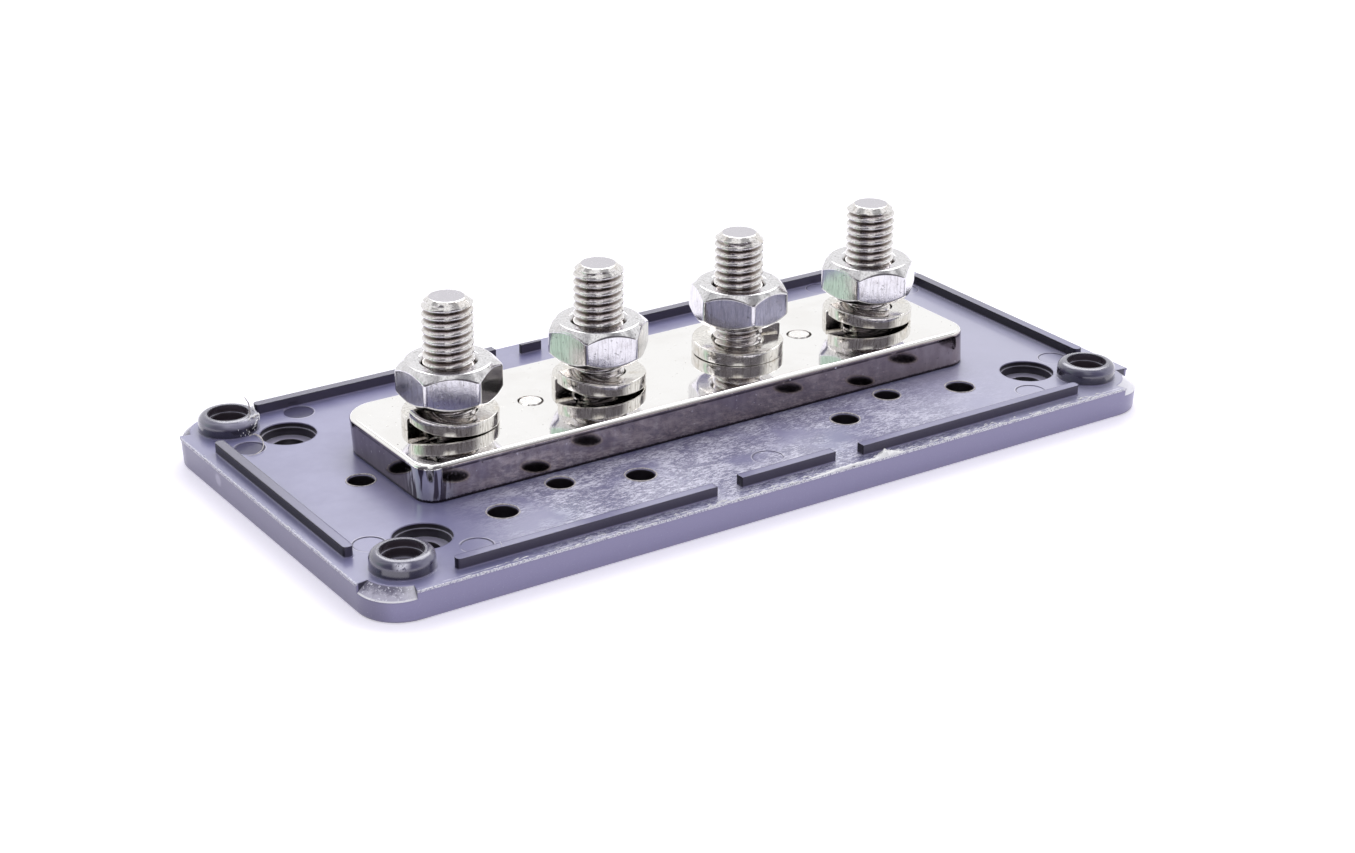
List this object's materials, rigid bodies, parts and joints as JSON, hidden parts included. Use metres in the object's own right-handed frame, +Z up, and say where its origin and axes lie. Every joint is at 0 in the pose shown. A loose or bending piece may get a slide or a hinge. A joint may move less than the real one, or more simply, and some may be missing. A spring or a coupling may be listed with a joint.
{
  "type": "power bus bar",
  "caption": "Plated metal bus bar with M10 terminal studs, spring washers and hex nuts on a moulded rectangular base plate, shown without its cover",
  "frame": {"origin": "on the underside of the base, midway between the four mounting holes and under the line of the studs", "axes": "+X along the bar, +Y across it from the pictured front to the rear, +Z up along the studs"},
  "size_m": [0.178, 0.0882, 0.0385],
  "materials": {
    "base": "moulded, satin",
    "bar": "nickel plated, mirror polished",
    "hardware": "bright nickel plated",
    "washer": "bright nickel plated, cut ends",
    "nut": "bright nickel plated"
  },
  "bodies": {
    "base": {"base_plate": "base", "bus_bar": "bar", "stud_1": "hardware", "stud_2": "hardware", "stud_3": "hardware", "stud_4": "hardware", "spring_washer_1": "washer", "spring_washer_2": "washer", "spring_washer_3": "washer", "spring_washer_4": "washer", "bar_screw_1": "hardware", "bar_screw_2": "hardware"},
    "nut_1": {"hex_nut_1": "nut"},
    "nut_2": {"hex_nut_2": "nut"},
    "nut_3": {"hex_nut_3": "nut"},
    "nut_4": {"hex_nut_4": "nut"}
  },
  "joints": [
    {"name": "nut_1_slide", "type": "slide", "parent": "base", "child": "nut_1", "axis": [0, 0, 1], "range_m": [-0.00038, 0.0168]},
    {"name": "nut_2_slide", "type": "slide", "parent": "base", "child": "nut_2", "axis": [0, 0, 1], "range_m": [-0.00158, 0.01565]},
    {"name": "nut_3_slide", "type": "slide", "parent": "base", "child": "nut_3", "axis": [0, 0, 1], "range_m": [-0.00253, 0.0147]},
    {"name": "nut_4_slide", "type": "slide", "parent": "base", "child": "nut_4", "axis": [0, 0, 1], "range_m": [-0.00113, 0.0161]}
  ]
}
